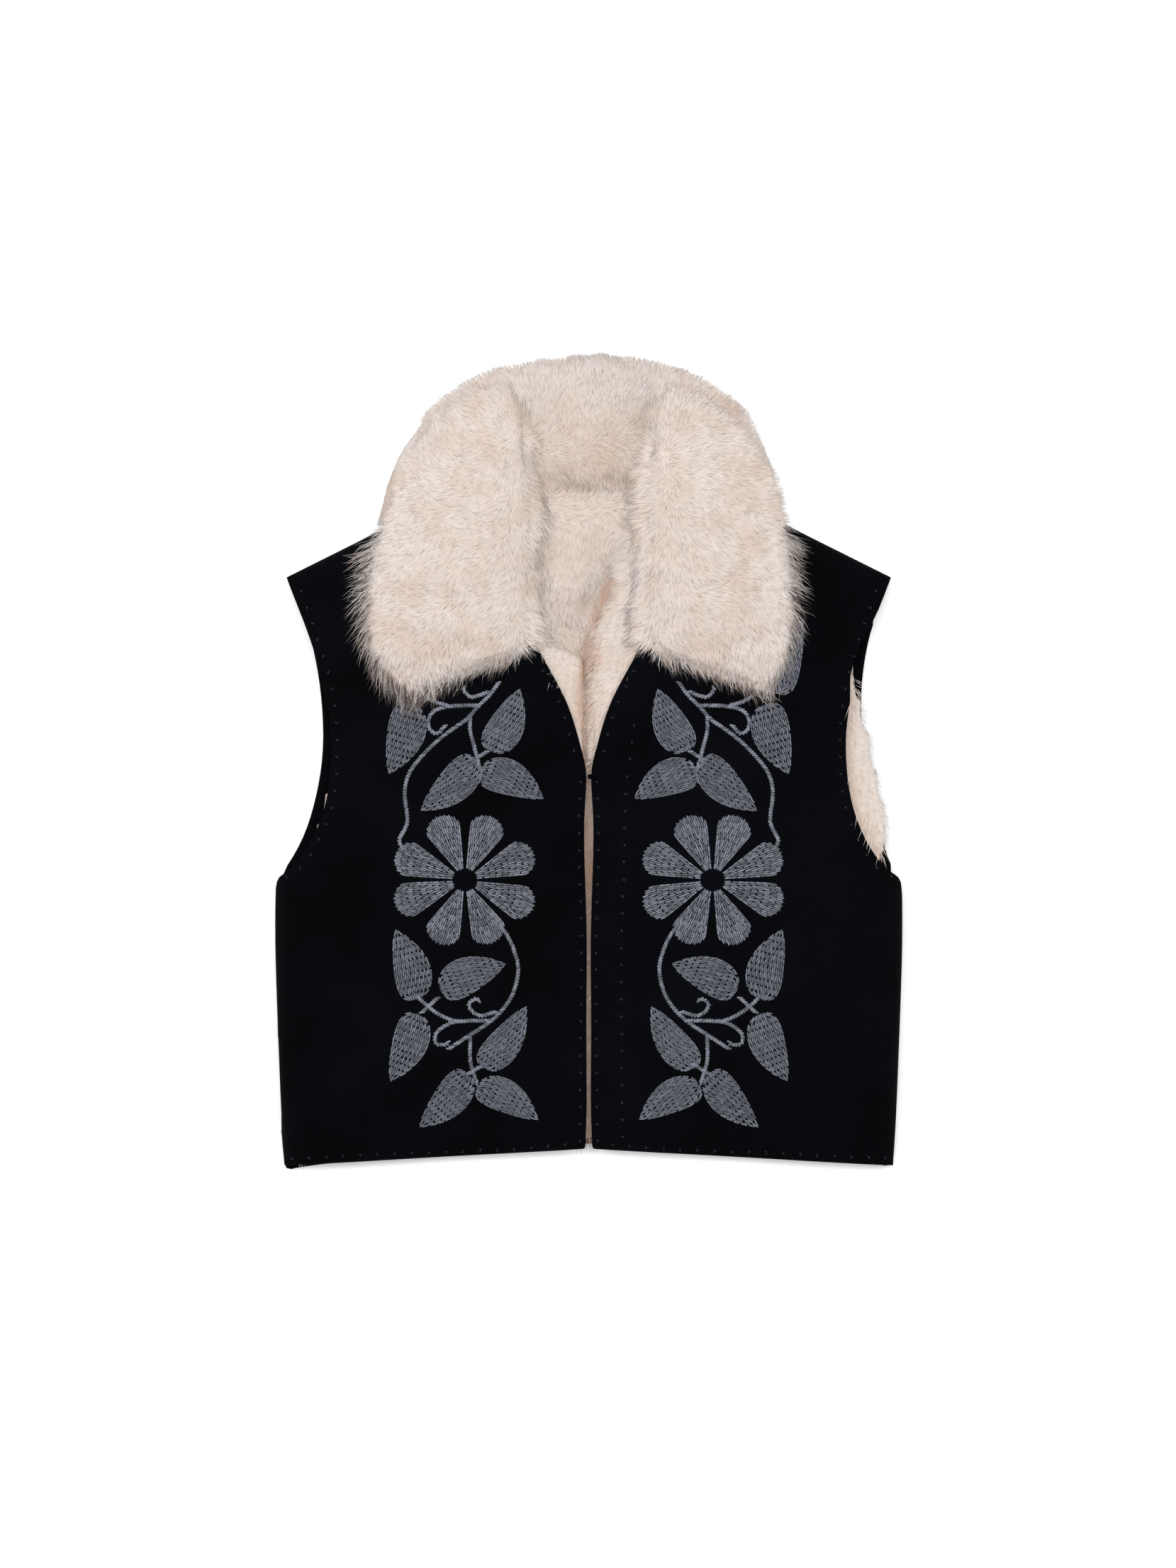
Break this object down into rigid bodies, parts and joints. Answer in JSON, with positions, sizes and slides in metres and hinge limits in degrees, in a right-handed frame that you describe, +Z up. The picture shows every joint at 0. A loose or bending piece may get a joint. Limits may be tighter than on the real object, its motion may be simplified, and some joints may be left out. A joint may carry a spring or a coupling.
{
  "type": "folk vest",
  "caption": "Short sleeveless vest laid flat on its back: black wool felt outside, cream long-pile fur lining and a wide turned-down fur collar.",
  "frame": {"origin": "on the surface the vest lies on, under the middle of the back", "axes": "+Z up from the surface, +Y from the hem to the collar, +X towards the front that lies on the picture's right"},
  "size_m": [0.501, 0.6515, 0.0563],
  "materials": {
    "wool": "near-black felted wool, matt",
    "fur": "cream pile fur, long and soft"
  },
  "bodies": {
    "root": {"back_panel": "wool", "back_lining": "fur", "front_left": "wool", "front_lining_left": "fur", "collar_cloth_left": "wool", "collar_left": "fur", "front_right": "wool", "front_lining_right": "fur", "collar_cloth_right": "wool", "collar_right": "fur", "collar_stand_cloth": "wool", "collar_stand": "fur"}
  },
  "joints": []
}
